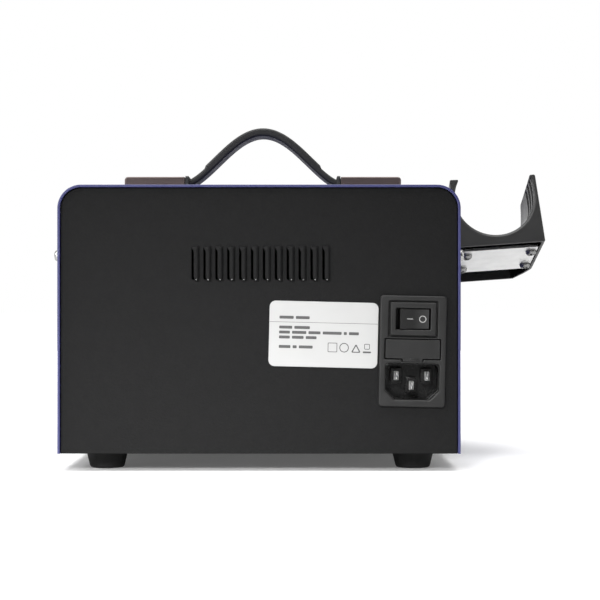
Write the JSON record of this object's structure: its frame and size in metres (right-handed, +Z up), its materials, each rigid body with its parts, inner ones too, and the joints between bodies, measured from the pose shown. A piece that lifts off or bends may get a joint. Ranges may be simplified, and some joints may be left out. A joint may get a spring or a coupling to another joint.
{
  "type": "hot-air and soldering rework station",
  "caption": "Bench rework station: steel case with bowed carrying strap, rear mains inlet with switch and fuse, front knobs and sockets, tilted side cradle for the hot-air gun.",
  "frame": {"origin": "middle of the bounding box's footprint, on the surface that the rubber feet stand on", "axes": "+Z up; the control panel faces -Y and the mains inlet faces +Y; the gun cradle is on the -X side"},
  "size_m": [0.24, 0.2618, 0.1678],
  "materials": {
    "blue_enamel": "dark blue-violet semi-gloss enamel on folded sheet steel",
    "black_textured_paint": "matt black powder coat with a fine wrinkle",
    "black_rubber": "moulded black rubber",
    "strap_rubber": "satin black moulded rubber over a spring strip",
    "bright_steel": "nickel-plated steel",
    "dark_steel": "zinc-plated steel screws",
    "brass": "plain turned brass",
    "white_label": "white printed vinyl sticker",
    "gloss_black": "moulded black thermoplastic",
    "black_plastic": "satin black moulded plastic",
    "glass_tube": "glass tube fuse with plated caps",
    "bronze_plate": "brown-bronze anodised end caps",
    "brushed_aluminium": "brushed aluminium bracket",
    "cast_aluminium": "die-cast and extruded aluminium",
    "smoked_window": "smoked acrylic window",
    "silicon_steel": "varnished steel laminations",
    "yellow_tape": "copper winding under yellow insulating tape",
    "clear_tube": "translucent silicone air line",
    "green_board": "green solder-masked circuit board"
  },
  "bodies": {
    "root": {"top_cover": "blue_enamel", "rear_panel": "black_textured_paint", "front_panel": "black_textured_paint", "base_tray": "black_textured_paint", "foot_rear_left": "black_rubber", "foot_rear_right": "black_rubber", "foot_front_left": "black_rubber", "foot_front_right": "black_rubber", "side_screw_rear_left": "bright_steel", "side_screw_rear_right": "bright_steel", "side_screw_front_left": "bright_steel", "side_screw_front_right": "bright_steel", "rating_label": "white_label", "inlet_housing": "gloss_black", "inlet_pin_live": "bright_steel", "inlet_pin_neutral": "bright_steel", "inlet_pin_earth": "bright_steel", "handle_cap_left": "bronze_plate", "handle_cap_right": "bronze_plate", "handle_clip_left": "black_plastic", "handle_clip_right": "black_plastic", "gun_cradle": "black_plastic", "holder_bracket": "brushed_aluminium", "cradle_screw_1": "dark_steel", "cradle_screw_2": "dark_steel", "cradle_screw_3": "dark_steel", "cradle_screw_4": "dark_steel", "bracket_screw_1": "bright_steel", "bracket_screw_2": "bright_steel", "display_window_air": "smoked_window", "display_window_iron": "smoked_window", "potentiometer_air_flow": "bright_steel", "potentiometer_air_heat": "bright_steel", "potentiometer_iron_heat": "bright_steel", "switch_housing_air": "black_plastic", "switch_housing_iron": "black_plastic", "iron_socket": "bright_steel", "iron_socket_nut": "brass", "air_gland": "black_plastic", "air_gland_nut": "black_plastic", "transformer_core": "silicon_steel", "transformer_winding": "yellow_tape", "transformer_bracket": "bright_steel", "pump_body": "cast_aluminium", "air_tube": "clear_tube", "main_board": "green_board", "heatsink": "cast_aluminium", "filter_capacitor": "gloss_black", "control_board": "green_board"},
    "inlet_switch": {"inlet_rocker": "gloss_black"},
    "fuse_carrier": {"fuse_drawer": "gloss_black", "fuse": "glass_tube"},
    "strap": {"handle_strap": "strap_rubber"},
    "flow_knob": {"knob_air_flow": "black_plastic"},
    "air_heat_knob": {"knob_air_heat": "black_plastic"},
    "iron_heat_knob": {"knob_iron_heat": "black_plastic"},
    "air_switch": {"switch_rocker_air": "gloss_black"},
    "iron_switch": {"switch_rocker_iron": "gloss_black"},
    "armature": {"pump_armature": "silicon_steel"}
  },
  "joints": [
    {"name": "inlet_rocker_tilt", "type": "hinge", "parent": "root", "child": "inlet_switch", "pos_m": [-0.04719, 0.12542, 0.0705], "axis": [0.0209, 0, -0.9998], "range_deg": [0, 20]},
    {"name": "fuse_drawer_slide", "type": "slide", "parent": "root", "child": "fuse_carrier", "axis": [0, 1, 0], "range_m": [0, 0.018]},
    {"name": "handle_press", "type": "slide", "parent": "root", "child": "strap", "axis": [0, 0, -1], "range_m": [0, 0.02], "stiffness_N_per_m": 300, "springref_m": -0.003, "deforming": ["handle_strap"]},
    {"name": "air_flow_turn", "type": "hinge", "parent": "root", "child": "flow_knob", "pos_m": [-0.03767, -0.11588, 0.068], "axis": [0, -1, 0], "range_deg": [-150, 150]},
    {"name": "air_heat_turn", "type": "hinge", "parent": "root", "child": "air_heat_knob", "pos_m": [-0.00167, -0.11588, 0.068], "axis": [0, -1, 0], "range_deg": [-150, 150]},
    {"name": "iron_heat_turn", "type": "hinge", "parent": "root", "child": "iron_heat_knob", "pos_m": [0.06433, -0.11588, 0.068], "axis": [0, -1, 0], "range_deg": [-150, 150]},
    {"name": "air_switch_tilt", "type": "hinge", "parent": "root", "child": "air_switch", "pos_m": [-0.04767, -0.11258, 0.031], "axis": [-1, 0, 0], "range_deg": [0, 20]},
    {"name": "iron_switch_tilt", "type": "hinge", "parent": "root", "child": "iron_switch", "pos_m": [0.09633, -0.11258, 0.031], "axis": [-1, 0, 0], "range_deg": [0, 20]},
    {"name": "pump_armature_swing", "type": "hinge", "parent": "root", "child": "armature", "pos_m": [0.06833, -0.03968, 0.04], "axis": [0, 0, 1], "range_deg": [-2, 2], "stiffness_Nm_per_rad": 0.5}
  ]
}
